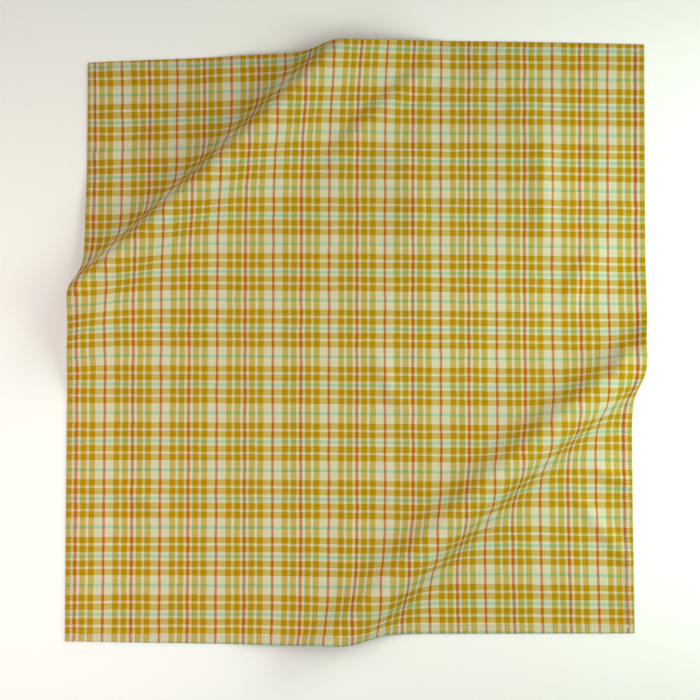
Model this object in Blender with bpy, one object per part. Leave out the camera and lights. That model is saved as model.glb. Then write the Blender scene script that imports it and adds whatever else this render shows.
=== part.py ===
"""A plaid cotton bandana laid on a table, with a soft fold across each of two opposite corners.

It is one hemmed sheet. Units are metres, +Z is up, the table is z = 0, +X is across the cloth
and +Y is along it. The origin is on the table under the middle of the cloth's box.

The sheet is made flat, cut along lines that follow the folds and the hem, and then laid:
each point moves to its place on the folds without the cloth stretching across them.
"""

import math
from dataclasses import dataclass

import bmesh
import bpy
import numpy as np

# The flat sheet
WIDTH = 0.546
LENGTH = 0.572
FIELD_THICKNESS = 0.0010
HEM_THICKNESS = 0.0017
HEM_WIDTH = 0.0080
HEM_STEP = 0.0012  # the run over which the hem's top drops to the field
HEM_EASE = 0.060  # how far inside an edge its wander has died away

# Cloth colour and finish
CLOTH_COLOUR = (0.52, 0.36, 0.08, 1.0)
CLOTH_ROUGHNESS = 0.85

# Mesh spacing, measured on the flat sheet
CROSS_SPACING = 0.022  # between cuts that run square to the folds
FIELD_SPACING = 0.024  # between cuts along the folds, away from them
SLOPE_SPACING = 0.0070  # on a fold's gentle side
WALL_SPACING = 0.0042  # over a fold's crest and down its steep side
TOUCHING = 0.00002  # a point this near the table lies on it
QUADRATURE_STEPS = 160
NORMAL_STEP = 0.0004

# How each edge wanders from the flat rectangle, outwards positive, in metres:
# side, at its left or lower end, at its middle, at its right or upper end
EDGE_WANDER = (
    ("left", 0.0004, 0.0010, -0.0017),
    ("right", -0.0026, 0.0004, 0.0002),
    ("top", -0.0029, 0.0013, -0.0001),
    ("bottom", -0.0015, 0.0014, -0.0005),
)

# How far each corner is pulled off square as the cloth lies, in metres:
# end across, end along, pull across, pull along
CORNER_PULL = (
    (-1, 1, 0.0020, -0.0010),
    (1, 1, -0.0032, -0.0030),
    (1, -1, 0.0044, -0.0005),
    (-1, -1, -0.0030, 0.0045),
)

# How far the middle of each side is pulled off straight as the cloth lies, in metres:
# side, pull across, pull along
SIDE_PULL = (
    ("left", 0.0009, 0.0050),
    ("right", -0.0021, 0.0033),
    ("top", 0.0007, 0.0011),
    ("bottom", -0.0011, 0.0016),
)


@dataclass(frozen=True)
class Fold:
    """One fold across a corner: a climb from the middle of the cloth, a crest and a steep fall.

    The climb and the fall are rows of arc length from the crest, in millimetres, and slope, in
    degrees. The slope runs evenly from one row to the next, so each stretch is a round arc. The
    fall's arcs are stretched until the cloth is back on the table.
    """

    heading: float  # degrees from +X, square to the crest, towards the corner
    crest: float  # from the sheet's centre to the crest, along the heading
    drift: float  # how the crest's distance changes along the fold, per metre
    bow: float  # how the crest's line curves, per metre squared
    swell: float  # how the slopes grow along the fold, per metre
    swell_bow: float  # how that growth curves, per metre squared
    climb: tuple[tuple[float, float], ...]
    fall: tuple[tuple[float, float], ...]


UPPER_FOLD = Fold(
    heading=131.7,
    crest=0.2170,
    drift=-0.030,
    bow=0.10,
    swell=0.63,
    swell_bow=-2.1,
    climb=((-80, 0), (-66, 20), (-54, 22), (-44, 26), (-34, 38), (-24, 41), (-14, 34), (-5, 25), (0, 0)),
    fall=((0, 0), (5, -34), (15, -68), (28, -50), (41, -16), (56, -4), (88, -10), (110, 0)),
)
LOWER_FOLD = Fold(
    heading=-44.9,
    crest=0.1901,
    drift=0.048,
    bow=0.20,
    swell=0.31,
    swell_bow=-1.4,
    climb=((-83, 0), (-71, 11), (-61, 11), (-52, 14), (-44, 17), (-36, 24), (-28, 39), (-19, 47), (-10, 42), (0, 0)),
    fall=((0, 0), (11, -33), (23, -58), (34, -48), (45, -21), (59, -3), (76, 0)),
)
FOLDS = (UPPER_FOLD, LOWER_FOLD)

# Low swells where the cloth stands a little off the table:
# centre across, centre along, heading of its ridge in degrees, half length, half width, height
SWELLS = (
    (0.005, 0.190, 45, 0.085, 0.026, 0.0030),
    (0.170, 0.175, 84, 0.100, 0.060, 0.0026),
    (-0.235, 0.010, 25, 0.055, 0.028, 0.0028),
    (0.045, 0.120, 86, 0.070, 0.018, 0.0016),
)


def compass(heading):
    """The unit vector at a heading in degrees, and the one a quarter turn on from it."""
    turn = math.radians(heading)
    return np.array((math.cos(turn), math.sin(turn))), np.array((-math.sin(turn), math.cos(turn)))


def along_side(rows, swell, reach):
    """Length lost and height gained on one side of a fold, from its first row out to reach."""
    arcs = np.array([row[0] for row in rows]) / 1000
    slopes = np.radians([row[1] for row in rows])
    reach = np.clip(reach, arcs[0], arcs[-1])
    span = reach - arcs[0]
    share = np.linspace(0, 1, QUADRATURE_STEPS)
    slope = swell[:, None] * np.interp(arcs[0] + span[:, None] * share, arcs, slopes)
    step = span / (QUADRATURE_STEPS - 1)
    lost = 1 - np.cos(slope)
    rise = np.sin(slope)
    ends = np.array((0, -1))
    lost_sum = (lost.sum(axis=1) - lost[:, ends].sum(axis=1) / 2) * step
    rise_sum = (rise.sum(axis=1) - rise[:, ends].sum(axis=1) / 2) * step
    return lost_sum, rise_sum


def on_fold(fold, across, along):
    """How far a fold draws each point in against its heading, and how high it lifts it."""
    outward, sideways = compass(fold.heading)
    offset = across * sideways[0] + along * sideways[1]
    swell = 1 + fold.swell * offset + fold.swell_bow * offset**2
    arc = across * outward[0] + along * outward[1]
    arc = arc - (fold.crest + fold.drift * offset + fold.bow * offset**2)

    climb_lost, climb_rise = along_side(fold.climb, swell, np.minimum(arc, 0))
    height = along_side(fold.climb, swell, np.zeros_like(arc))[1]
    full_fall = along_side(fold.fall, swell, np.full_like(arc, fold.fall[-1][0] / 1000))[1]
    stretch = -height / full_fall
    fall_lost, fall_rise = along_side(fold.fall, swell, np.maximum(arc, 0) / stretch)
    return climb_lost + stretch * fall_lost, climb_rise + stretch * fall_rise


def on_swell(swell, across, along):
    """The lift of one low swell, which dies away to nothing at its rim."""
    mid_across, mid_along, heading, half_length, half_width, height = swell
    ridge, side = compass(heading)
    run = ((across - mid_across) * ridge[0] + (along - mid_along) * ridge[1]) / half_length
    out = ((across - mid_across) * side[0] + (along - mid_along) * side[1]) / half_width
    shape = np.cos(np.clip(run, -1, 1) * math.pi / 2) * np.cos(np.clip(out, -1, 1) * math.pi / 2)
    return height * shape**2


def bowed(start, middle, end, place):
    """A value that runs through start, middle and end as place goes from -1 to 1."""
    return middle + (end - start) / 2 * place + ((start + end) / 2 - middle) * place**2


def edge_wander(across, along):
    """The flat sheet's points, moved where its hemmed edges wander from a true rectangle."""
    place = {"across": across / (WIDTH / 2), "along": along / (LENGTH / 2)}
    moved = {"across": across.copy(), "along": along.copy()}
    for side, start, middle, end in EDGE_WANDER:
        axis, other = ("across", "along") if side in ("left", "right") else ("along", "across")
        outward = 1 if side in ("right", "top") else -1
        half = WIDTH / 2 if axis == "across" else LENGTH / 2
        inside = half * (1 - outward * place[axis])
        share = np.clip(1 - inside / HEM_EASE, 0, 1) ** 2
        moved[axis] += outward * share * bowed(start, middle, end, place[other])
    return moved["across"], moved["along"]


def pulled(across, along):
    """Where the flat sheet's points lie once its corners and sides are pulled off square."""
    u = across / (WIDTH / 2)
    v = along / (LENGTH / 2)
    x = across.copy()
    y = along.copy()
    for end_across, end_along, pull_across, pull_along in CORNER_PULL:
        share = (1 + end_across * u) * (1 + end_along * v) / 4
        x += share * pull_across
        y += share * pull_along
    shares = {
        "left": (1 - v**2) * (1 - u) / 2,
        "right": (1 - v**2) * (1 + u) / 2,
        "top": (1 - u**2) * (1 + v) / 2,
        "bottom": (1 - u**2) * (1 - v) / 2,
    }
    for side, pull_across, pull_along in SIDE_PULL:
        x += shares[side] * pull_across
        y += shares[side] * pull_along
    return x, y


def laid(across, along):
    """The underside of the cloth as it lies: one row of x, y, z for each flat point."""
    x, y = pulled(across, along)
    z = np.zeros_like(x)
    for fold in FOLDS:
        outward, _ = compass(fold.heading)
        lost, lift = on_fold(fold, across, along)
        x -= lost * outward[0]
        y -= lost * outward[1]
        z += lift
    z = np.where(z < TOUCHING, 0, z)
    for swell in SWELLS:
        z += on_swell(swell, across, along)
    return np.stack((x, y, z), axis=1)


def upward(across, along):
    """The cloth's upward normal at each flat point."""
    step = NORMAL_STEP
    by_across = laid(across + step, along) - laid(across - step, along)
    by_along = laid(across, along + step) - laid(across, along - step)
    normal = np.cross(by_across, by_along)
    return normal / np.linalg.norm(normal, axis=1)[:, None]


def thickness(across, along):
    """The cloth's thickness: the hem's at the edges, the field's inside them."""
    to_edge = np.minimum(WIDTH / 2 - np.abs(across), LENGTH / 2 - np.abs(along))
    share = np.clip((HEM_WIDTH + HEM_STEP - to_edge) / HEM_STEP, 0, 1)
    return FIELD_THICKNESS + share * (HEM_THICKNESS - FIELD_THICKNESS)


def spaced(start, end, spacing):
    """Places from start to end, both included, no further apart than spacing."""
    count = max(1, math.ceil((end - start) / spacing))
    return [start + (end - start) * k / count for k in range(count + 1)]


def cut_lines():
    """The straight cuts across the flat sheet, each as a point on it and a direction square to it."""
    cuts = []
    for inset in (HEM_WIDTH, HEM_WIDTH + HEM_STEP):
        for end in (-1, 1):
            cuts.append(((end * (WIDTH / 2 - inset), 0), (1, 0)))
            cuts.append(((0, end * (LENGTH / 2 - inset)), (0, 1)))

    reach = math.hypot(WIDTH, LENGTH) / 2
    middle = []
    for fold in FOLDS:
        outward, _ = compass(fold.heading)
        toe = fold.crest + fold.climb[0][0] / 1000
        wall_top = fold.crest + fold.climb[-3][0] / 1000
        wall_foot = fold.crest + fold.fall[-3][0] / 1000
        heel = fold.crest + fold.fall[-1][0] / 1000
        places = spaced(toe, wall_top, SLOPE_SPACING)
        places += spaced(wall_top, wall_foot, WALL_SPACING)[1:]
        places += spaced(wall_foot, heel, SLOPE_SPACING)[1:]
        places += spaced(heel, reach, FIELD_SPACING)[1:]
        cuts += [(tuple(outward * place), tuple(outward)) for place in places]
        middle.append(toe)

    mean_heading = (UPPER_FOLD.heading + LOWER_FOLD.heading + 180) / 2
    outward, sideways = compass(mean_heading)
    for place in spaced(-middle[1], middle[0], FIELD_SPACING)[1:-1]:
        cuts.append((tuple(outward * place), tuple(outward)))
    for place in spaced(-reach, reach, CROSS_SPACING)[1:-1]:
        cuts.append((tuple(sideways * place), tuple(sideways)))
    return cuts


def flat_sheet():
    """The sheet's flat outline, cut along every line and then into triangles."""
    sheet = bmesh.new()
    corners = ((-1, -1), (1, -1), (1, 1), (-1, 1))
    sheet.faces.new([sheet.verts.new((x * WIDTH / 2, y * LENGTH / 2, 0)) for x, y in corners])
    for point, direction in cut_lines():
        bmesh.ops.bisect_plane(
            sheet,
            geom=sheet.verts[:] + sheet.edges[:] + sheet.faces[:],
            dist=0.00005,
            plane_co=(*point, 0),
            plane_no=(*direction, 0),
        )
    bmesh.ops.remove_doubles(sheet, verts=sheet.verts[:], dist=0.0001)
    bmesh.ops.triangulate(sheet, faces=sheet.faces[:], quad_method="SHORT_EDGE")
    sheet.normal_update()
    return sheet


def bandana_mesh():
    """The laid sheet as one closed mesh, centred over the origin."""
    sheet = flat_sheet()
    flat = np.array([vert.co[:2] for vert in sheet.verts])
    across, along = edge_wander(flat[:, 0], flat[:, 1])
    under = laid(across, along)
    over = under + upward(across, along) * thickness(flat[:, 0], flat[:, 1])[:, None]
    points = np.concatenate((under, over))
    points[:, :2] -= (points[:, :2].max(axis=0) + points[:, :2].min(axis=0)) / 2

    count = len(flat)
    sheet.verts.index_update()
    faces = []
    for face in sheet.faces:
        corners = [vert.index for vert in face.verts]
        faces.append([corner + count for corner in corners])
        faces.append(corners[::-1])
    for edge in sheet.edges:
        if edge.is_boundary:
            loop = edge.link_loops[0]
            start = loop.vert.index
            end = loop.link_loop_next.vert.index
            faces.append([start, end, end + count])
            faces.append([start, end + count, start + count])
    sheet.free()

    mesh = bpy.data.meshes.new("bandana")
    mesh.from_pydata(points.tolist(), [], faces)
    mesh.update()
    mesh.shade_smooth()
    mesh.set_sharp_from_angle(angle=math.radians(60))
    return mesh


def cloth_material():
    """Plain weave cotton, at the plaid's mean colour."""
    material = bpy.data.materials.new("plaid cotton")
    material.use_nodes = True
    shader = material.node_tree.nodes["Principled BSDF"]
    shader.inputs["Base Color"].default_value = CLOTH_COLOUR
    shader.inputs["Roughness"].default_value = CLOTH_ROUGHNESS
    shader.inputs["Metallic"].default_value = 0.0
    return material


def main():
    """Clears the scene and makes the bandana."""
    for old in list(bpy.data.objects):
        bpy.data.objects.remove(old, do_unlink=True)
    bandana = bpy.data.objects.new("bandana", bandana_mesh())
    bandana.data.materials.append(cloth_material())
    bpy.context.scene.collection.objects.link(bandana)


main()
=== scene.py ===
"""Looks for a plaid cotton bandana laid on a table, with a soft fold across two of its corners.

The cloth is one thin hemmed sheet on the solid's folds, with its softer creases listed one by one.
The plaid, the plain weave and the hem are worked out in the material from the sheet's own flat
measurements, and the topstitching is a second piece that lies on the hem. Units are metres, +Z
is up, and the table is z = 0.
"""

import logging
import math
from dataclasses import dataclass
from enum import Enum

import bpy
import numpy as np
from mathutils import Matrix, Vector


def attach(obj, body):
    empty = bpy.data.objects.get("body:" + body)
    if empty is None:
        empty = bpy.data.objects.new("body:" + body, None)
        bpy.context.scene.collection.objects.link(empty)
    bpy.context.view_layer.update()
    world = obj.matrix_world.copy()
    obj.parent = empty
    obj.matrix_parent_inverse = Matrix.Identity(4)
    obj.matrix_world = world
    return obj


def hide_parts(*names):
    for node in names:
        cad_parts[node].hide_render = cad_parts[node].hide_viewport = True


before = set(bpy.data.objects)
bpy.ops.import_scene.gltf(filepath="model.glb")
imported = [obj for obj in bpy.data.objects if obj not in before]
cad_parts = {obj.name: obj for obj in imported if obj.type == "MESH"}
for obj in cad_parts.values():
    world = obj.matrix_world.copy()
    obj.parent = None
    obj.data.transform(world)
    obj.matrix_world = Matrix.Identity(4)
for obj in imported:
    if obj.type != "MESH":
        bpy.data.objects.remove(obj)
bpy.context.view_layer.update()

log = logging.getLogger("bandana")

Colour = tuple[float, float, float]
Place = tuple[float, float, float]
Table = tuple[tuple[float, float], ...]


class Yarn(Enum):
    """The dyed yarns, as the colour that each shows where it crosses itself."""

    CREAM = (0.817, 0.797, 0.670)
    MUSTARD = (0.688, 0.522, 0.004)
    RED = (0.743, 0.236, 0.088)
    MINT = (0.480, 0.743, 0.650)


class Side(Enum):
    """The four sides of the flat cut, as the axis each lies across and the way it faces."""

    LEFT = (0, -1)
    RIGHT = (0, 1)
    TOP = (1, 1)
    BOTTOM = (1, -1)


@dataclass(frozen=True)
class Fold:
    """One fold across a corner: a climb from the middle of the cloth, a crest and a steep fall.

    The climb and the fall are rows of arc length from the crest, in millimetres, and slope, in
    degrees. The slope runs evenly from one row to the next.
    """

    heading: float  # degrees from +X, square to the crest, towards the corner
    crest: float  # from the sheet's centre to the crest, along the heading
    drift: float  # how the crest's distance changes along the fold, per metre
    bow: float  # how the crest's line curves, per metre squared
    swell: float  # how the slopes grow along the fold, per metre
    swell_bow: float  # how that growth curves, per metre squared
    climb: Table
    fall: Table


@dataclass(frozen=True)
class Swell:
    """One long soft ridge, which dies away to nothing at its rim."""

    across: float
    along: float
    heading: float  # of the ridge, in degrees from +X
    half_length: float
    half_width: float
    height: float


@dataclass(frozen=True)
class Crease:
    """One finer ridge along a curve through three places on the weave, in millimetres."""

    start: tuple[float, float]
    middle: tuple[float, float]
    end: tuple[float, float]
    half_width: float
    height: float

    def lift(self, across: np.ndarray, along: np.ndarray) -> np.ndarray:
        """How far the ridge lifts each place on the weave, in metres."""
        share = np.linspace(0, 1, 41)[:, None]
        first, second, third = (np.array(place) for place in (self.start, self.middle, self.end))
        curve = first * (1 - share) * (1 - 2 * share) + second * 4 * share * (1 - share)
        curve = (curve + third * share * (2 * share - 1)) / 1000
        reach = self.half_width / 1000
        lift = np.zeros_like(across)
        low, high = curve.min(axis=0) - reach, curve.max(axis=0) + reach
        near = (across > low[0]) & (across < high[0]) & (along > low[1]) & (along < high[1])
        if not near.any():
            return lift
        gaps = np.hypot(across[near, None] - curve[:, 0], along[near, None] - curve[:, 1])
        nearest = gaps.argmin(axis=1)
        fade = 1 - np.abs(2 * share[nearest, 0] - 1) ** 3
        round_off = np.cos(np.clip(gaps.min(axis=1) / reach, 0, 1) * math.pi / 2) ** 2
        lift[near] = self.height / 1000 * fade * round_off
        return lift


UPPER_FOLD = Fold(
    heading=131.7,
    crest=0.2170,
    drift=-0.030,
    bow=0.10,
    swell=0.63,
    swell_bow=-2.1,
    climb=((-80, 0), (-66, 20), (-54, 22), (-44, 26), (-34, 38), (-24, 41), (-14, 34), (-5, 25), (0, 0)),
    fall=((0, 0), (5, -34), (15, -68), (28, -50), (41, -16), (56, -4), (88, -10), (110, 0)),
)
LOWER_FOLD = Fold(
    heading=-44.9,
    crest=0.1901,
    drift=0.048,
    bow=0.20,
    swell=0.31,
    swell_bow=-1.4,
    climb=((-83, 0), (-71, 11), (-61, 11), (-52, 14), (-44, 17), (-36, 24), (-28, 39), (-19, 47), (-10, 42), (0, 0)),
    fall=((0, 0), (11, -33), (23, -58), (34, -48), (45, -21), (59, -3), (76, 0)),
)

# Low swells that the solid has too, then the finer creases that only the cloth shows
SWELLS = (
    Swell(0.005, 0.190, 45, 0.085, 0.026, 0.0030),
    Swell(0.170, 0.175, 84, 0.100, 0.060, 0.0026),
    Swell(-0.235, 0.010, 25, 0.055, 0.028, 0.0028),
    Swell(0.045, 0.120, 86, 0.070, 0.018, 0.0016),
)
CREASES = (
    Crease((84, 275), (24, 223), (-34, 163), 17, 6.0),
    Crease((10, 168), (34, 175), (59, 156), 14, 2.6),
    Crease((176, 206), (176, 144), (177, 88), 15, 2.6),
    Crease((183, 197), (183, 144), (183, 96), 5, 0.5),
    Crease((240, 88), (211, 66), (197, 18), 14, 2.8),
    Crease((234, -131), (252, -140), (272, -145), 10, 2.4),
    Crease((216, -156), (243, -190), (270, -226), 11, 2.2),
    Crease((-265, 273), (-231, 273), (-197, 275), 12, 2.6),
    Crease((-265, 231), (-232, 234), (-198, 234), 12, 2.8),
    Crease((-270, 191), (-255, 193), (-239, 198), 11, 2.4),
    Crease((-261, 70), (-266, 49), (-269, 16), 12, 4.0),
    Crease((256, -4), (250, -20), (245, -38), 12, 2.8),
    Crease((54, 145), (57, 122), (55, 93), 13, 2.2),
    Crease((20, -7), (28, -40), (49, -71), 12, 2.2),
    Crease((-243, 8), (-92, 7), (60, 9), 10, 1.4),
    Crease((-234, -26), (-201, -28), (-163, -26), 9, 1.2),
    Crease((-234, -142), (-202, -152), (-174, -176), 11, 1.4),
    Crease((118, 246), (140, 265), (169, 256), 12, 2.0),
    Crease((138, 219), (156, 223), (178, 219), 12, 2.0),
    Crease((217, 182), (234, 182), (252, 185), 11, 1.8),
    Crease((235, 132), (251, 126), (267, 129), 11, 1.8),
    Crease((69, 133), (121, 128), (164, 131), 11, 1.0),
    Crease((-10, -107), (-11, -190), (-11, -254), 12, 1.2),
)


@dataclass(frozen=True)
class ClothShape:
    """How the sheet lies. Each method takes the cloth's own flat places and works on whole arrays."""

    width: float = 0.546
    length: float = 0.572
    hem_ease: float = 0.060  # how far inside an edge its wander has died away
    field_thickness: float = 0.0005
    hem_thickness: float = 0.0012
    hem_width: float = 0.0088
    # side, how far inside its edge the stitches run
    stitch_insets: tuple[tuple[Side, float], ...] = (
        (Side.LEFT, 0.0057),
        (Side.RIGHT, 0.0066),
        (Side.TOP, 0.0059),
        (Side.BOTTOM, 0.0063),
    )
    box_centre: tuple[float, float] = (-0.00256, 0.00177)  # of the laid sheet, which the origin is under
    # side, how far it wanders outwards at its left or lower end, its middle, its right or upper end
    edge_wander: tuple[tuple[Side, float, float, float], ...] = (
        (Side.LEFT, 0.0004, 0.0010, -0.0017),
        (Side.RIGHT, -0.0026, 0.0004, 0.0002),
        (Side.TOP, -0.0029, 0.0013, -0.0001),
        (Side.BOTTOM, -0.0015, 0.0014, -0.0005),
    )
    # end across, end along, how far that corner is pulled across and along
    corner_pull: tuple[tuple[int, int, float, float], ...] = (
        (-1, 1, 0.0020, -0.0010),
        (1, 1, -0.0032, -0.0030),
        (1, -1, 0.0044, -0.0005),
        (-1, -1, -0.0030, 0.0045),
    )
    # side, how far its middle is pulled across and along
    side_pull: tuple[tuple[Side, float, float], ...] = (
        (Side.LEFT, 0.0009, 0.0050),
        (Side.RIGHT, -0.0021, 0.0033),
        (Side.TOP, 0.0007, 0.0011),
        (Side.BOTTOM, -0.0011, 0.0016),
    )

    @staticmethod
    def compass(heading: float) -> tuple[np.ndarray, np.ndarray]:
        """The unit vector at a heading in degrees, and the one a quarter turn on from it."""
        turn = math.radians(heading)
        return np.array((math.cos(turn), math.sin(turn))), np.array((-math.sin(turn), math.cos(turn)))

    @staticmethod
    def along_side(rows: Table, swell: np.ndarray, reach: np.ndarray) -> tuple[np.ndarray, np.ndarray]:
        """Measures one side of a fold from its first row out to reach.

        Args:
            rows: arc length in millimetres and slope in degrees.
            swell: how much steeper than the rows each point's slopes are.
            reach: the arc length of each point, in metres.

        Returns:
            The length lost in plan and the height gained.
        """
        arcs = np.array([row[0] for row in rows]) / 1000
        slopes = np.radians([row[1] for row in rows])
        reach = np.clip(reach, arcs[0], arcs[-1])
        steps = 64
        span = reach - arcs[0]
        middles = (np.arange(steps) + 0.5) / steps
        lost = np.zeros_like(reach)
        rise = np.zeros_like(reach)
        for middle in middles:
            slope = swell * np.interp(arcs[0] + span * middle, arcs, slopes)
            lost += 1 - np.cos(slope)
            rise += np.sin(slope)
        return lost * span / steps, rise * span / steps

    def on_fold(self, fold: Fold, across: np.ndarray, along: np.ndarray) -> tuple[np.ndarray, np.ndarray]:
        """Works out one fold's pull and lift.

        Args:
            fold: the fold.
            across: places across the flat sheet.
            along: places along the flat sheet.

        Returns:
            How far each point is drawn in against the fold's heading, and how high it is lifted.
        """
        outward, sideways = self.compass(fold.heading)
        offset = across * sideways[0] + along * sideways[1]
        swell = 1 + fold.swell * offset + fold.swell_bow * offset**2
        arc = across * outward[0] + along * outward[1]
        arc = arc - (fold.crest + fold.drift * offset + fold.bow * offset**2)
        climb_lost, climb_rise = self.along_side(fold.climb, swell, np.minimum(arc, 0))
        height = self.along_side(fold.climb, swell, np.zeros_like(arc))[1]
        end = np.full_like(arc, fold.fall[-1][0] / 1000)
        stretch = -height / self.along_side(fold.fall, swell, end)[1]
        fall_lost, fall_rise = self.along_side(fold.fall, swell, np.maximum(arc, 0) / stretch)
        return climb_lost + stretch * fall_lost, climb_rise + stretch * fall_rise

    def on_swell(self, swell: Swell, across: np.ndarray, along: np.ndarray) -> np.ndarray:
        """The lift of one soft ridge at each flat place."""
        ridge, side = self.compass(swell.heading)
        from_middle = (across - swell.across, along - swell.along)
        run = (from_middle[0] * ridge[0] + from_middle[1] * ridge[1]) / swell.half_length
        out = (from_middle[0] * side[0] + from_middle[1] * side[1]) / swell.half_width
        shape = np.cos(np.clip(run, -1, 1) * math.pi / 2) * np.cos(np.clip(out, -1, 1) * math.pi / 2)
        return swell.height * shape**2

    def wandered(self, across: np.ndarray, along: np.ndarray) -> tuple[np.ndarray, np.ndarray]:
        """Moves the flat cut's points to where its hemmed edges wander from a true rectangle.

        Args:
            across: places across the flat cut.
            along: places along the flat cut.

        Returns:
            The same points measured on the weave itself, across and along.
        """
        halves = (self.width / 2, self.length / 2)
        flat = (across, along)
        moved = [across.copy(), along.copy()]
        for side, start, middle, end in self.edge_wander:
            axis, outward = side.value
            place = flat[1 - axis] / halves[1 - axis]
            inside = halves[axis] - outward * flat[axis]
            share = np.clip(1 - inside / self.hem_ease, 0, 1) ** 2
            bend = middle + (end - start) / 2 * place + ((start + end) / 2 - middle) * place**2
            moved[axis] += outward * share * bend
        return moved[0], moved[1]

    def pulled(self, across: np.ndarray, along: np.ndarray) -> tuple[np.ndarray, np.ndarray]:
        """Moves flat points to where they lie once the corners and sides are pulled off square.

        Args:
            across: places across the weave.
            along: places along the weave.

        Returns:
            Each point's x and y before the folds draw it in.
        """
        u = across / (self.width / 2)
        v = along / (self.length / 2)
        x = across.copy()
        y = along.copy()
        for end_across, end_along, pull_across, pull_along in self.corner_pull:
            share = (1 + end_across * u) * (1 + end_along * v) / 4
            x += share * pull_across
            y += share * pull_along
        for side, pull_across, pull_along in self.side_pull:
            axis, outward = side.value
            near, over = (u, v) if axis == 0 else (v, u)
            share = (1 - over**2) * (1 + outward * near) / 2
            x += share * pull_across
            y += share * pull_along
        return x, y

    def laid(self, across: np.ndarray, along: np.ndarray) -> np.ndarray:
        """The underside of the cloth as it lies: one row of x, y, z for each place on the weave."""
        x, y = self.pulled(across, along)
        z = np.zeros_like(x)
        for fold in (UPPER_FOLD, LOWER_FOLD):
            outward, _ = self.compass(fold.heading)
            lost, lift = self.on_fold(fold, across, along)
            x -= lost * outward[0]
            y -= lost * outward[1]
            z += lift
        for swell in SWELLS:
            z += self.on_swell(swell, across, along)
        for crease in CREASES:
            z += crease.lift(across, along)
        z = np.maximum(z, 0)
        return np.stack((x - self.box_centre[0], y - self.box_centre[1], z), axis=1)

    def normals(self, across: np.ndarray, along: np.ndarray) -> np.ndarray:
        """The cloth's upward normal at each place on the weave."""
        step = 0.0004
        by_across = self.laid(across + step, along) - self.laid(across - step, along)
        by_along = self.laid(across, along + step) - self.laid(across, along - step)
        normal = np.cross(by_across, by_along)
        return normal / np.linalg.norm(normal, axis=1)[:, None]

    def edge_distance(self, across: np.ndarray, along: np.ndarray) -> np.ndarray:
        """How far each place on the flat cut is from its nearest edge."""
        return np.minimum(self.width / 2 - np.abs(across), self.length / 2 - np.abs(along))

    def thickness(self, across: np.ndarray, along: np.ndarray) -> np.ndarray:
        """The cloth's thickness on the flat cut: a rounded outer edge, a turned hem pinched by its
        stitches, and the single cloth inside it."""
        inset = self.edge_distance(across, along) * 1000
        places = (0.0, 0.25, 0.6, 1.2, 3.4, 5.2, 6.1, 7.0, 7.8, 8.6, 9.5)
        shares = (0.35, 0.72, 0.92, 1.0, 1.0, 0.92, 0.78, 0.90, 0.95, 0.85, 0.0)
        share = np.interp(inset, places, shares)
        return self.field_thickness + share * (self.hem_thickness - self.field_thickness)


class Nodes:
    """A short hand for one material's or group's nodes."""

    def __init__(self, tree: bpy.types.NodeTree) -> None:
        """Keeps the tree that the nodes go into."""
        self.tree = tree

    def add(self, kind: str, links: dict[str, object] | None = None, **settings: object) -> bpy.types.Node:
        """Adds a node.

        Args:
            kind: Blender's name of the node, without its ShaderNode prefix.
            links: for each input's name or number, a socket to link or a value to set.
            settings: the node's own properties.

        Returns:
            The node.
        """
        node = self.tree.nodes.new("ShaderNode" + kind)
        for name, value in settings.items():
            setattr(node, name, value)
        for name, value in (links or {}).items():
            socket = node.inputs[int(name)] if name.isdigit() else node.inputs[name]
            if isinstance(value, bpy.types.NodeSocket):
                self.tree.links.new(value, socket)
            else:
                socket.default_value = value
        return node

    def maths(self, operation: str, *values: object, clamp: bool = False) -> bpy.types.NodeSocket:
        """Adds a Math node.

        Args:
            operation: the node's operation.
            values: a socket or a number for each of its inputs.
            clamp: whether the result is kept from 0 to 1.

        Returns:
            Its output.
        """
        links = {str(place): value for place, value in enumerate(values)}
        return self.add("Math", links, operation=operation, use_clamp=clamp).outputs[0]

    def mix(self, factor: object, first: object, second: object, blend: str = "MIX") -> bpy.types.NodeSocket:
        """Adds a colour Mix node.

        Args:
            factor: the second colour's share, as a socket or a number.
            first: the first colour.
            second: the second colour.
            blend: the way they mix.

        Returns:
            The mixed colour.
        """
        node = self.add("Mix", {"0": factor, "6": first, "7": second}, data_type="RGBA", blend_type=blend)
        return node.outputs[2]

    def bump(self, value: bpy.types.NodeSocket, low: float, high: float) -> bpy.types.NodeSocket:
        """A mask that is 1 where the value is at most low and falls smoothly to 0 at high."""
        links = {"Value": value, "From Min": low, "From Max": high, "To Min": 1.0, "To Max": 0.0}
        return self.add("MapRange", links, interpolation_type="SMOOTHSTEP").outputs[0]


def new_group(name: str, inputs: dict[str, float], outputs: tuple[str, ...]) -> tuple[bpy.types.NodeTree, Nodes]:
    """Makes an empty group of shader nodes whose sockets are all values.

    Args:
        name: the group's name.
        inputs: each input's name and its value where nothing is linked.
        outputs: each output's name.

    Returns:
        The group and a short hand for its nodes.
    """
    group = bpy.data.node_groups.new(name, "ShaderNodeTree")
    for socket_name, value in inputs.items():
        socket = group.interface.new_socket(socket_name, in_out="INPUT", socket_type="NodeSocketFloat")
        socket.default_value = value
    for socket_name in outputs:
        group.interface.new_socket(socket_name, in_out="OUTPUT", socket_type="NodeSocketFloat")
    return group, Nodes(group)


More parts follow.
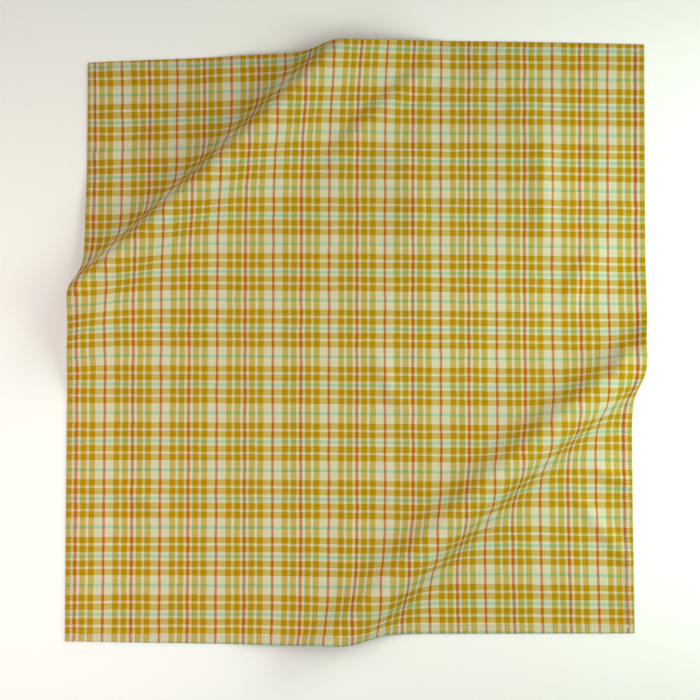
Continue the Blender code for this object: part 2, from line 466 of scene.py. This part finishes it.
@dataclass(frozen=True)
class PlainWeave:
    """The plain weave: which yarn lies on top, how high it stands and how its shade varies."""

    warp_pitch: float = 0.000425
    weft_pitch: float = 0.000450

    def group(self) -> bpy.types.NodeTree:
        """Builds the group once.

        Returns:
            A group that turns places across and along the weave, in metres, into Warp on top,
            Height and Shade, each about 0 to 1.
        """
        found = bpy.data.node_groups.get("plain weave")
        if found:
            return found
        group, nodes = new_group("plain weave", {"Across": 0.0, "Along": 0.0}, ("Warp on top", "Height", "Shade"))
        inside = nodes.tree.nodes.new("NodeGroupInput")
        warp_count = nodes.maths("DIVIDE", inside.outputs["Across"], self.warp_pitch)
        weft_count = nodes.maths("DIVIDE", inside.outputs["Along"], self.weft_pitch)
        warp = nodes.maths("FLOOR", warp_count)
        weft = nodes.maths("FLOOR", weft_count)
        parity = nodes.maths("MODULO", nodes.maths("ABSOLUTE", nodes.maths("ADD", warp, weft)), 2.0)
        warp_round = nodes.maths("SINE", nodes.maths("MULTIPLY", nodes.maths("FRACT", warp_count), math.pi))
        weft_round = nodes.maths("SINE", nodes.maths("MULTIPLY", nodes.maths("FRACT", weft_count), math.pi))
        warp_top = nodes.maths("MULTIPLY", parity, nodes.maths("ADD", nodes.maths("MULTIPLY", weft_round, 0.6), 0.4))
        other = nodes.maths("SUBTRACT", 1.0, parity)
        weft_top = nodes.maths("MULTIPLY", other, nodes.maths("ADD", nodes.maths("MULTIPLY", warp_round, 0.6), 0.4))
        height = nodes.maths(
            "ADD", nodes.maths("MULTIPLY", warp_top, warp_round), nodes.maths("MULTIPLY", weft_top, weft_round)
        )
        warp_shade = nodes.add("TexWhiteNoise", {"W": warp}, noise_dimensions="1D").outputs["Value"]
        weft_shade = nodes.add(
            "TexWhiteNoise", {"W": nodes.maths("ADD", weft, 0.37)}, noise_dimensions="1D"
        ).outputs["Value"]
        shade = nodes.maths(
            "ADD", nodes.maths("MULTIPLY", warp_shade, parity), nodes.maths("MULTIPLY", weft_shade, other)
        )
        outside = nodes.tree.nodes.new("NodeGroupOutput")
        for name, value in (("Warp on top", parity), ("Height", height), ("Shade", shade)):
            nodes.tree.links.new(value, outside.inputs[name])
        return group


@dataclass(frozen=True)
class FibreFuzz:
    """Fine uneven fibre, shared by the cloth and its sewing thread."""

    scale: float = 2600.0

    def group(self) -> bpy.types.NodeTree:
        """Builds the group once.

        Returns:
            A group with the one output Fuzz, about 0 to 1, worked out from Object coordinates.
        """
        found = bpy.data.node_groups.get("fibre fuzz")
        if found:
            return found
        group, nodes = new_group("fibre fuzz", {"Scale": self.scale}, ("Fuzz",))
        inside = nodes.tree.nodes.new("NodeGroupInput")
        place = nodes.add("TexCoord").outputs["Object"]
        noise = nodes.add("TexNoise", {"Vector": place, "Scale": inside.outputs["Scale"], "Detail": 2.0})
        outside = nodes.tree.nodes.new("NodeGroupOutput")
        nodes.tree.links.new(noise.outputs["Fac"], outside.inputs["Fuzz"])
        return group


@dataclass(frozen=True)
class PlaidCotton:
    """Yarn-dyed plain-weave cotton, with a turned hem.

    The stripes are rows of a yarn and the width it covers, in millimetres, for one whole repeat
    from the middle of the wide cream band.
    """

    shape: ClothShape
    warp_start: float = 0.02627  # from the sheet's centre to the start of a repeat, across
    weft_start: float = 0.03628  # the same, along
    warp: tuple[tuple[Yarn, float], ...] = (
        (Yarn.RED, 1.30),
        (Yarn.CREAM, 7.58),
        (Yarn.MUSTARD, 5.54),
        (Yarn.CREAM, 2.53),
        (Yarn.MUSTARD, 5.55),
        (Yarn.CREAM, 2.59),
        (Yarn.RED, 2.78),
        (Yarn.CREAM, 2.59),
        (Yarn.MUSTARD, 5.55),
        (Yarn.CREAM, 2.53),
        (Yarn.MUSTARD, 5.54),
        (Yarn.CREAM, 7.58),
        (Yarn.RED, 1.30),
    )
    weft: tuple[tuple[Yarn, float], ...] = (
        (Yarn.MINT, 1.38),
        (Yarn.CREAM, 7.60),
        (Yarn.MUSTARD, 5.83),
        (Yarn.CREAM, 2.42),
        (Yarn.MUSTARD, 5.83),
        (Yarn.CREAM, 2.37),
        (Yarn.MINT, 2.94),
        (Yarn.CREAM, 2.37),
        (Yarn.MUSTARD, 5.83),
        (Yarn.CREAM, 2.42),
        (Yarn.MUSTARD, 5.83),
        (Yarn.CREAM, 7.60),
        (Yarn.MINT, 1.38),
    )
    wobble: float = 0.0004  # how far the stripes stray from straight
    warp_share: float = 0.52  # how much of a crossing's colour is the warp's
    relief: float = 0.18  # how far that share swings from one crossing to the next
    roughness: float = 0.88

    def stripes(self, nodes: Nodes, place: object, start: float, rows: tuple[tuple[Yarn, float], ...]) -> object:
        """Adds the ramp of one set of stripes.

        Args:
            nodes: where the nodes go.
            place: the socket with the place across the stripes, in metres.
            start: where a repeat starts.
            rows: the stripes of one repeat.

        Returns:
            The yarn's colour, encoded as a screen shows it.
        """
        repeat = sum(width for _, width in rows) / 1000
        share = nodes.maths("DIVIDE", nodes.maths("SUBTRACT", place, start), repeat)
        share = nodes.maths("SUBTRACT", share, nodes.maths("FLOOR", share))
        ramp = nodes.add("ValToRGB", {"Fac": share})
        ramp.color_ramp.interpolation = "CONSTANT"
        stops = ramp.color_ramp.elements
        at = 0.0
        for count, (yarn, width) in enumerate(rows):
            # A ramp has 255 steps, so a stripe's edge lies just ahead of the step that is nearest to it
            position = max(round(at * 255) - 0.5, 0) / 255
            stop = stops[count] if count < 2 else stops.new(position)
            stop.position = position
            stop.color = (*yarn.value, 1.0)
            at += width / 1000 / repeat
        return ramp.outputs["Color"]

    def hem_masks(self, nodes: Nodes, cut: object) -> tuple[object, object]:
        """Adds the masks of the turned hem, which the material uses for painted shade.

        Args:
            nodes: where the nodes go.
            cut: the flat cut's map, split into its places.

        Returns:
            A mask of the hem's own width, for the hem's painted shade, and one of the needle holes between its
            stitches, for their painted shade and their dents.
        """
        halves = (self.shape.width / 2, self.shape.length / 2)
        holes: object = 0.0
        for side, inset in self.shape.stitch_insets:
            axis, outward = side.value
            run = nodes.maths("DIVIDE", cut.outputs[1 - axis], HemStitching.pitch)
            from_hole = nodes.maths("ABSOLUTE", nodes.maths("SUBTRACT", run, nodes.maths("ROUND", run)))
            line = outward * (halves[axis] - inset)
            from_line = nodes.maths("ABSOLUTE", nodes.maths("SUBTRACT", cut.outputs[axis], line))
            hole = nodes.maths("MULTIPLY", nodes.bump(from_hole, 0.06, 0.17), nodes.bump(from_line, 0.0002, 0.0006))
            holes = nodes.maths("MAXIMUM", hole, holes)
        gaps = [nodes.maths("SUBTRACT", halves[axis], nodes.maths("ABSOLUTE", cut.outputs[axis])) for axis in (0, 1)]
        inside = nodes.maths("MINIMUM", *gaps)
        return nodes.bump(inside, self.shape.hem_width - 0.0004, self.shape.hem_width + 0.0006), holes

    def material(self) -> bpy.types.Material:
        """Builds the material.

        Returns:
            The cloth's material, which reads the sheet's maps weave and cut.
        """
        material = bpy.data.materials.new("plaid cotton")
        material.use_nodes = True
        nodes = Nodes(material.node_tree)
        shader = material.node_tree.nodes["Principled BSDF"]
        weave_map = nodes.add("UVMap", uv_map="weave").outputs["UV"]
        cut_map = nodes.add("UVMap", uv_map="cut").outputs["UV"]
        stray = nodes.add("TexNoise", {"Vector": weave_map, "Scale": 46.0, "Detail": 1.5})
        off = nodes.add("VectorMath", {"0": stray.outputs["Color"], "1": (0.5, 0.5, 0.5)}, operation="SUBTRACT")
        off = nodes.add("VectorMath", {"0": off.outputs[0], "Scale": self.wobble * 3}, operation="SCALE")
        place = nodes.add("VectorMath", {"0": weave_map, "1": off.outputs[0]}, operation="ADD")
        split = nodes.add("SeparateXYZ", {"0": place.outputs[0]})

        warp = self.stripes(nodes, split.outputs[0], self.warp_start, self.warp)
        weft = self.stripes(nodes, split.outputs[1], self.weft_start, self.weft)
        weave = nodes.add("Group", node_tree=PlainWeave().group())
        material.node_tree.links.new(split.outputs[0], weave.inputs["Across"])
        material.node_tree.links.new(split.outputs[1], weave.inputs["Along"])
        swing = nodes.maths("MULTIPLY", nodes.maths("SUBTRACT", weave.outputs["Warp on top"], 0.5), self.relief * 2)
        share = nodes.maths("ADD", swing, self.warp_share)
        encoded = nodes.mix(share, weft, warp)
        colour = nodes.add("Gamma", {"Color": encoded, "Gamma": 2.2}).outputs[0]

        fuzz = nodes.add("Group", node_tree=FibreFuzz().group()).outputs["Fuzz"]
        shade = nodes.maths("MULTIPLY", nodes.maths("SUBTRACT", weave.outputs["Shade"], 0.5), 0.16)
        shade = nodes.maths("ADD", shade, nodes.maths("MULTIPLY", nodes.maths("SUBTRACT", fuzz, 0.5), 0.14))
        hem, holes = self.hem_masks(nodes, nodes.add("SeparateXYZ", {"0": cut_map}))
        # Painted shade: the hem is painted 4.5 % darker, standing in for the light that the single cloth lets back
        # through from the pale floor and the three-layer hem does not.
        shade = nodes.maths("SUBTRACT", shade, nodes.maths("MULTIPLY", hem, 0.045))
        # Painted shade: the needle holes are painted much darker, as the shade in the small dents that the bump below
        # also makes.
        shade = nodes.maths("SUBTRACT", shade, nodes.maths("MULTIPLY", holes, 0.45))
        shade = nodes.maths("ADD", shade, 1.0)
        shaded = nodes.add("VectorMath", {"0": colour, "Scale": shade}, operation="SCALE").outputs[0]
        material.node_tree.links.new(shaded, shader.inputs["Base Color"])

        rough = nodes.maths("ADD", nodes.maths("MULTIPLY", weave.outputs["Height"], -0.08), self.roughness + 0.04)
        material.node_tree.links.new(rough, shader.inputs["Roughness"])
        shader.inputs["Specular IOR Level"].default_value = 0.04
        shader.inputs["Sheen Weight"].default_value = 0.02
        shader.inputs["Sheen Roughness"].default_value = 0.5
        height = nodes.maths("ADD", weave.outputs["Height"], nodes.maths("MULTIPLY", fuzz, 0.5))
        height = nodes.maths("SUBTRACT", height, nodes.maths("MULTIPLY", holes, 3.0))
        relief = nodes.add("Bump", {"Height": height, "Strength": 0.55, "Distance": 0.00008})
        material.node_tree.links.new(relief.outputs[0], shader.inputs["Normal"])
        return material


@dataclass(frozen=True)
class SewingThread:
    """The hem's white cotton thread."""

    colour: Colour = (0.72, 0.71, 0.64)
    roughness: float = 0.75

    def material(self) -> bpy.types.Material:
        """Builds the material.

        Returns:
            The thread's material, whose two plies twist along the stitch's own map, with painted light and shade on
            them.
        """
        material = bpy.data.materials.new("sewing thread")
        material.use_nodes = True
        nodes = Nodes(material.node_tree)
        shader = material.node_tree.nodes["Principled BSDF"]
        run = nodes.add("SeparateXYZ", {"0": nodes.add("UVMap", uv_map="twist").outputs["UV"]})
        turn = nodes.maths("ADD", nodes.maths("MULTIPLY", run.outputs[0], 5.0), run.outputs[1])
        ply = nodes.maths("SINE", nodes.maths("MULTIPLY", turn, 2 * math.pi))
        fuzz = nodes.add("Group", node_tree=FibreFuzz().group()).outputs["Fuzz"]
        # Painted light and shade: the plies' crowns are painted up to 7 % lighter and the grooves between them 7 %
        # darker along the twist; the fuzz is the thread's own uneven tone.
        shade = nodes.maths("ADD", nodes.maths("MULTIPLY", ply, 0.07), nodes.maths("MULTIPLY", fuzz, 0.2))
        shade = nodes.maths("ADD", shade, 0.9)
        shaded = nodes.add("VectorMath", {"0": self.colour, "Scale": shade}, operation="SCALE").outputs[0]
        material.node_tree.links.new(shaded, shader.inputs["Base Color"])
        shader.inputs["Roughness"].default_value = self.roughness
        height = nodes.maths("ADD", ply, fuzz)
        relief = nodes.add("Bump", {"Height": height, "Strength": 0.5, "Distance": 0.00005})
        material.node_tree.links.new(relief.outputs[0], shader.inputs["Normal"])
        return material


@dataclass
class Sheet:
    """The hemmed sheet of cloth."""

    shape: ClothShape
    field_step: float = 0.00305
    # how far in from each edge the lines of faces lie that shape the hem, in millimetres
    hem_lines: tuple[float, ...] = (0.0, 0.25, 0.6, 1.2, 2.3, 3.7, 5.1, 6.1, 7.0, 7.8, 8.6, 9.5, 10.8)

    def lines(self, size: float) -> np.ndarray:
        """Where the lines of faces lie on one axis, close together in the hems and even between them."""
        half = size / 2
        edge = half - np.array(self.hem_lines) / 1000
        inner = edge[-1]
        count = round(2 * inner / self.field_step)
        field = np.linspace(-inner, inner, count + 1)[1:-1]
        return np.concatenate((-edge, field, edge[::-1]))

    def build(self) -> bpy.types.Object:
        """Makes the sheet.

        Returns:
            The cloth as a closed thin mesh, with its maps weave and cut in metres.
        """
        across_lines = self.lines(self.shape.width)
        along_lines = self.lines(self.shape.length)
        bpy.ops.object.select_all(action="DESELECT")
        bpy.ops.mesh.primitive_grid_add(
            x_subdivisions=len(across_lines) - 1, y_subdivisions=len(along_lines) - 1, size=1.0
        )
        sheet = bpy.context.object
        sheet.name = sheet.data.name = "cloth"
        mesh = sheet.data
        start = self.points(mesh)
        column = np.rint((start[:, 0] + 0.5) * (len(across_lines) - 1)).astype(int)
        row = np.rint((start[:, 1] + 0.5) * (len(along_lines) - 1)).astype(int)
        cut = np.stack((across_lines[column], along_lines[row]), axis=1)
        weave = np.stack(self.shape.wandered(cut[:, 0], cut[:, 1]), axis=1)

        thick = self.shape.thickness(cut[:, 0], cut[:, 1])
        normal = self.shape.normals(weave[:, 0], weave[:, 1])
        top = self.shape.laid(weave[:, 0], weave[:, 1]) + normal * thick[:, None]
        mesh.vertices.foreach_set("co", top.astype(np.float32).ravel())
        while mesh.uv_layers:
            mesh.uv_layers.remove(mesh.uv_layers[0])
        corner = np.zeros(len(mesh.loops), dtype=np.int32)
        mesh.loops.foreach_get("vertex_index", corner)
        for name, places in (("weave", weave), ("cut", cut)):
            layer = mesh.uv_layers.new(name=name)
            layer.uv.foreach_set("vector", places[corner].astype(np.float32).ravel())
        mesh.update()

        group = sheet.vertex_groups.new(name="thickness")
        shares = thick / thick.max()
        for share in np.unique(shares):
            group.add(np.flatnonzero(shares == share).tolist(), float(share), "REPLACE")
        solid = sheet.modifiers.new("thickness", "SOLIDIFY")
        solid.thickness = float(thick.max())
        solid.offset = -1.0
        solid.vertex_group = group.name
        bpy.ops.object.modifier_apply(modifier=solid.name)
        sheet.vertex_groups.clear()
        bpy.ops.object.shade_smooth()
        return sheet

    @staticmethod
    def points(mesh: bpy.types.Mesh) -> np.ndarray:
        """The mesh's vertices as rows of x, y, z."""
        found = np.zeros(len(mesh.vertices) * 3, dtype=np.float32)
        mesh.vertices.foreach_get("co", found)
        return found.reshape(-1, 3).astype(float)


@dataclass
class HemStitching:
    """The row of white stitches that holds the turned hem down."""

    shape: ClothShape
    pitch = 0.0030
    stitch_length: float = 0.0024
    stitch_width: float = 0.00052
    stitch_height: float = 0.00034

    def one_stitch(self) -> tuple[np.ndarray, list[list[int]], np.ndarray]:
        """Models one stitch: a short round thread whose ends dip into the cloth.

        Returns:
            Its points, along x and centred on the origin, its faces, and each point's place in the
            map twist.
        """
        bpy.ops.object.select_all(action="DESELECT")
        bpy.ops.mesh.primitive_cylinder_add(vertices=6, radius=0.5, depth=1.0, end_fill_type="TRIFAN")
        stitch = bpy.context.object
        bpy.ops.object.mode_set(mode="EDIT")
        bpy.ops.mesh.select_all(action="SELECT")
        for place in (-0.42, -0.22, 0.22, 0.42):
            bpy.ops.mesh.select_all(action="SELECT")
            bpy.ops.mesh.bisect(plane_co=(0, 0, place), plane_no=(0, 0, 1))
        bpy.ops.object.mode_set(mode="OBJECT")
        points = Sheet.points(stitch.data)
        faces = [list(face.vertices) for face in stitch.data.polygons]
        run = points[:, 2].copy()
        round_off = np.sqrt(np.clip(1 - (2 * np.abs(run)) ** 4, 0.05, 1))
        turn = np.arctan2(points[:, 1], points[:, 0]) / (2 * math.pi)
        shaped = np.stack(
            (
                run * self.stitch_length,
                points[:, 0] * self.stitch_width * round_off,
                points[:, 1] * self.stitch_height * round_off - (2 * np.abs(run)) ** 3 * self.stitch_height * 0.9,
            ),
            axis=1,
        )
        bpy.data.objects.remove(stitch, do_unlink=True)
        return shaped, faces, np.stack((run, turn), axis=1)

    def places(self) -> tuple[np.ndarray, np.ndarray]:
        """Where the stitches go.

        Returns:
            Each stitch's middle on the flat cut, and the way that it runs there.
        """
        middles, ways = [], []
        halves = (self.shape.width / 2, self.shape.length / 2)
        lines = {side: side.value[1] * (halves[side.value[0]] - inset) for side, inset in self.shape.stitch_insets}
        for side, line in lines.items():
            axis, _ = side.value
            along = 1 - axis
            count = math.floor((halves[along] - self.shape.hem_width / 2) / self.pitch)
            for step in range(-count, count):
                middle = [line, line]
                middle[along] = (step + 0.5) * self.pitch
                middles.append(middle)
                ways.append([float(axis == 1), float(axis == 0)])
        # A few stitches cross over each other where two rows end
        steps = np.random.default_rng(3)
        for first in (Side.LEFT, Side.RIGHT):
            for second in (Side.TOP, Side.BOTTOM):
                for turn in (0.1, 1.4, 2.5, 0.6, 1.9):
                    middles.append(np.array((lines[first], lines[second])) + steps.normal(0, 0.0007, 2))
                    ways.append([math.cos(turn), math.sin(turn)])
        return np.array(middles), np.array(ways)

    def build(self) -> bpy.types.Object:
        """Makes all the stitches as one mesh.

        Returns:
            The stitching.
        """
        stitch, faces, twist = self.one_stitch()
        middles, ways = self.places()
        steps = np.random.default_rng(7)
        turned = steps.normal(0, math.radians(4), len(middles))
        ways = np.stack(
            (
                ways[:, 0] * np.cos(turned) - ways[:, 1] * np.sin(turned),
                ways[:, 0] * np.sin(turned) + ways[:, 1] * np.cos(turned),
            ),
            axis=1,
        )
        middles = middles + steps.normal(0, 0.00007, middles.shape)
        reach = self.stitch_length / 2
        place = self.on_top(middles)
        ahead = self.on_top(middles + ways * reach) - self.on_top(middles - ways * reach)
        ahead /= np.linalg.norm(ahead, axis=1)[:, None]
        weave = self.shape.wandered(middles[:, 0], middles[:, 1])
        up = self.shape.normals(*weave)
        side = np.cross(up, ahead)
        side /= np.linalg.norm(side, axis=1)[:, None]
        up = np.cross(ahead, side)
        size = steps.uniform(0.92, 1.06, len(middles))
        points = (
            place[:, None, :]
            + stitch[None, :, 0, None] * ahead[:, None, :] * size[:, None, None]
            + stitch[None, :, 1, None] * side[:, None, :]
            + stitch[None, :, 2, None] * up[:, None, :]
        )
        joined = [[corner + step * len(stitch) for corner in face] for step in range(len(middles)) for face in faces]
        mesh = bpy.data.meshes.new("hem_stitches")
        mesh.from_pydata(points.reshape(-1, 3).tolist(), [], joined)
        layer = mesh.uv_layers.new(name="twist")
        corner = np.zeros(len(mesh.loops), dtype=np.int32)
        mesh.loops.foreach_get("vertex_index", corner)
        layer.uv.foreach_set("vector", twist[corner % len(stitch)].astype(np.float32).ravel())
        mesh.shade_smooth()
        mesh.update()
        stitches = bpy.data.objects.new("hem_stitches", mesh)
        bpy.context.scene.collection.objects.link(stitches)
        return stitches

    def on_top(self, cut: np.ndarray) -> np.ndarray:
        """Places on the flat cut, moved to the top of the laid cloth."""
        weave = self.shape.wandered(cut[:, 0], cut[:, 1])
        thick = self.shape.thickness(cut[:, 0], cut[:, 1])[:, None]
        return self.shape.laid(*weave) + self.shape.normals(*weave) * thick


@dataclass
class Bandana:
    """The whole bandana: its sheet and the stitches on it."""

    shape: ClothShape

    def build(self) -> list[bpy.types.Object]:
        """Returns:
            The cloth and its stitches.
        """
        cloth = Sheet(self.shape).build()
        cloth.data.materials.append(PlaidCotton(self.shape).material())
        stitches = HemStitching(self.shape).build()
        stitches.data.materials.append(SewingThread().material())
        for piece in (cloth, stitches):
            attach(piece, "root")
        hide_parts("bandana")
        return [cloth, stitches]


@dataclass
class Studio:
    """A plain pale floor, soft light and a camera straight above."""

    camera_place: Place = (-0.0049, -0.0070, 1.2)
    view_width: float = 0.6608  # of the table that the camera sees
    sensor: float = 0.036

    def floor(self) -> bpy.types.Object:
        """A pale table top that reaches past every view."""
        bpy.ops.object.select_all(action="DESELECT")
        bpy.ops.mesh.primitive_plane_add(size=8.0, location=(0, 0, -0.0002))
        floor = bpy.context.object
        floor.name = "floor"
        material = bpy.data.materials.new("pale floor")
        material.use_nodes = True
        shader = material.node_tree.nodes["Principled BSDF"]
        shader.inputs["Base Color"].default_value = (0.94, 0.94, 0.94, 1.0)
        shader.inputs["Roughness"].default_value = 0.9
        floor.data.materials.append(material)
        return floor

    def light(self, name: str, place: Place, size: float, power: float, colour: Colour) -> None:
        """Adds one square soft light that faces the middle of the cloth.

        Args:
            name: the light's name.
            place: where it stands.
            size: the length of its side.
            power: its power in watts.
            colour: its colour.
        """
        data = bpy.data.lights.new(name, "AREA")
        data.size = size
        data.energy = power
        data.color = colour
        lamp = bpy.data.objects.new(name, data)
        lamp.location = place
        lamp.rotation_euler = (-Vector(place)).to_track_quat("-Z", "Y").to_euler()
        lamp.visible_camera = False
        bpy.context.scene.collection.objects.link(lamp)

    def build(self) -> None:
        """Makes the floor, the lights, the world and the camera."""
        self.floor()
        self.light("right light", (0.50, 0.0, 0.45), 0.45, 2.00, (1.0, 0.99, 0.74))
        self.light("low right light", (0.55, 0.0, 0.30), 0.35, 0.95, (0.50, 1.0, 0.98))
        self.light("left light", (-0.50, 0.0, 0.45), 0.45, 1.15, (1.0, 0.87, 0.79))
        self.light("front left light", (-0.354, -0.354, 0.45), 0.45, 1.17, (1.0, 0.93, 0.93))
        world = bpy.data.worlds.new("soft sky")
        world.use_nodes = True
        background = world.node_tree.nodes["Background"]
        background.inputs["Color"].default_value = (1.0, 1.0, 0.93, 1.0)
        nodes = Nodes(world.node_tree)
        way = nodes.add("TexCoord").outputs["Generated"]
        heading, rise = math.radians(45), math.radians(12)
        towards = (math.cos(rise) * math.cos(heading), math.cos(rise) * math.sin(heading), math.sin(rise))
        turn = nodes.add("VectorMath", {"0": way, "1": towards}, operation="DOT_PRODUCT").outputs["Value"]
        patch = nodes.maths("SUBTRACT", 1.0, nodes.bump(turn, math.cos(math.radians(22)), math.cos(math.radians(13))))
        strength = nodes.maths("ADD", nodes.maths("MULTIPLY", patch, 5.3), 0.274)
        world.node_tree.links.new(strength, background.inputs["Strength"])
        bpy.context.scene.world = world
        bpy.context.scene.view_settings.view_transform = "Standard"
        camera = bpy.data.cameras.new("camera")
        camera.sensor_width = self.sensor * 1000
        camera.lens = self.sensor * 1000 * self.camera_place[2] / self.view_width
        camera.clip_end = 20.0
        holder = bpy.data.objects.new("camera", camera)
        holder.location = self.camera_place
        bpy.context.scene.collection.objects.link(holder)
        bpy.context.scene.camera = holder


def main() -> None:
    """Builds the studio and the bandana."""
    logging.basicConfig(level=logging.INFO, format="%(message)s")
    Studio().build()
    for piece in Bandana(ClothShape()).build():
        log.info("%s: %d faces", piece.name, len(piece.data.polygons))


if __name__ == "__main__":
    main()
